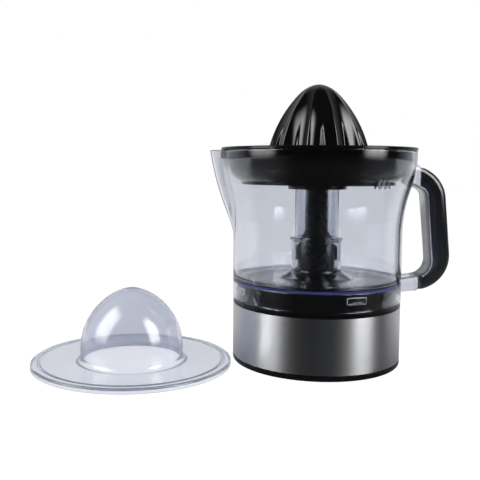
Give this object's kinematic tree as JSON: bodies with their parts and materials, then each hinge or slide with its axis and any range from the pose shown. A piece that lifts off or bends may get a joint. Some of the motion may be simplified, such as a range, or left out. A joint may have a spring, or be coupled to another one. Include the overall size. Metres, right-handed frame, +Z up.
{
  "type": "citrus press juicer",
  "caption": "Electric citrus press: ribbed reamer over a strainer in a clear handled jug with a spout, on a round geared motor base with a steel band; clear dome lid beside it.",
  "frame": {"origin": "on the drive axis at table level, under the middle of the base", "axes": "+Z up along the drive axis, +X towards the handle, -X towards the spout and the lid, +Y towards the cord inlet at the back"},
  "size_m": [0.3494, 0.1768, 0.2332],
  "materials": {
    "matte_black": "satin",
    "gloss_black": "gloss",
    "reamer_black": "gloss",
    "strainer_black": "gloss",
    "band_steel": "brushed around",
    "clear_jug": "clear",
    "clear_lid": "clear",
    "rubber": "matt",
    "ivory": "natural acetal",
    "dark_nylon": "satin",
    "screw_steel": "zinc plated",
    "ground_steel": "ground",
    "spring_steel": "drawn wire",
    "core_steel": "stacked sheets",
    "zinc_plate": "zinc plated",
    "bronze": "sintered",
    "copper_wire": "enamelled"
  },
  "bodies": {
    "base": {"base_cover": "matte_black", "rubber_feet": "rubber", "base_screws": "screw_steel", "steel_band": "band_steel", "motor_housing": "gloss_black", "cord_grommet": "rubber", "gearbox_frame": "ivory", "gearbox_cover": "ivory", "gearbox_screws": "screw_steel", "gear_axles": "ground_steel", "core_laminations": "core_steel", "coil_bobbin": "dark_nylon", "motor_coil": "copper_wire", "shading_rings": "copper_wire", "motor_brackets": "zinc_plate", "rotor_bushes": "bronze", "motor_screws": "screw_steel", "tower": "matte_black", "tower_seal": "gloss_black", "tower_bushes": "bronze", "return_spring": "spring_steel", "switch_body": "dark_nylon", "switch_screws": "screw_steel"},
    "motor_rotor": {"rotor": "core_steel", "motor_pinion": "bronze"},
    "first_gear": {"first_gear": "ivory"},
    "second_gear": {"second_gear": "ivory"},
    "output_gear": {"output_gear": "ivory"},
    "press": {"thrust_plate": "ivory"},
    "spindle": {"spindle": "ground_steel", "spindle_clip": "spring_steel", "drive_hub": "matte_black"},
    "plunger": {"switch_plunger": "ivory"},
    "jug": {"jug": "clear_jug", "hand_grip": "matte_black"},
    "strainer": {"strainer": "strainer_black"},
    "reamer": {"reamer": "reamer_black"},
    "lid": {"lid": "clear_lid"}
  },
  "joints": [
    {"name": "rotor_spin", "type": "hinge", "parent": "base", "child": "motor_rotor", "pos_m": [-0.03429, -0.00643, 0.02], "axis": [0, 0, 1], "continuous": true},
    {"name": "first_gear_spin", "type": "hinge", "parent": "base", "child": "first_gear", "pos_m": [-0.03717, 0.01174, 0.04], "axis": [0, 0, 1], "continuous": true},
    {"name": "second_gear_spin", "type": "hinge", "parent": "base", "child": "second_gear", "pos_m": [-0.01801, 0.0104, 0.04], "axis": [0, 0, 1], "continuous": true},
    {"name": "output_gear_spin", "type": "hinge", "parent": "base", "child": "output_gear", "pos_m": [0, 0, 0.05], "axis": [0, 0, 1], "continuous": true},
    {"name": "drive_press", "type": "slide", "parent": "base", "child": "press", "axis": [0, 0, -1], "range_m": [0, 0.003], "stiffness_N_per_m": 1500, "springref_m": -0.006, "deforming": ["return_spring"]},
    {"name": "spindle_spin", "type": "hinge", "parent": "press", "child": "spindle", "pos_m": [0, 0, 0.1], "axis": [0, 0, 1], "continuous": true},
    {"name": "switch_plunger_press", "type": "slide", "parent": "base", "child": "plunger", "axis": [0, 0, -1], "range_m": [0, 0.003]},
    {"name": "jug_lift", "type": "slide", "parent": "base", "child": "jug", "axis": [0, 0, 1], "range_m": [0, 0.14]},
    {"name": "strainer_lift", "type": "slide", "parent": "jug", "child": "strainer", "axis": [0, 0, 1], "range_m": [0, 0.05]},
    {"name": "reamer_lift", "type": "slide", "parent": "spindle", "child": "reamer", "axis": [0, 0, 1], "range_m": [0, 0.282]},
    {"name": "lid_lift", "type": "slide", "parent": "base", "child": "lid", "axis": [0, 0, 1], "range_m": [0, 0.08]}
  ],
  "couplings": [
    {"joint": "first_gear_spin", "follows": "rotor_spin", "ratio": -0.27778},
    {"joint": "second_gear_spin", "follows": "rotor_spin", "ratio": 0.092593},
    {"joint": "output_gear_spin", "follows": "rotor_spin", "ratio": -0.027778},
    {"joint": "spindle_spin", "follows": "rotor_spin", "ratio": -0.027778},
    {"joint": "switch_plunger_press", "follows": "drive_press", "ratio": 1},
    {"joint": "strainer_lift", "follows": "jug_lift", "ratio": 0.35},
    {"joint": "reamer_lift", "follows": "jug_lift", "ratio": 2}
  ]
}
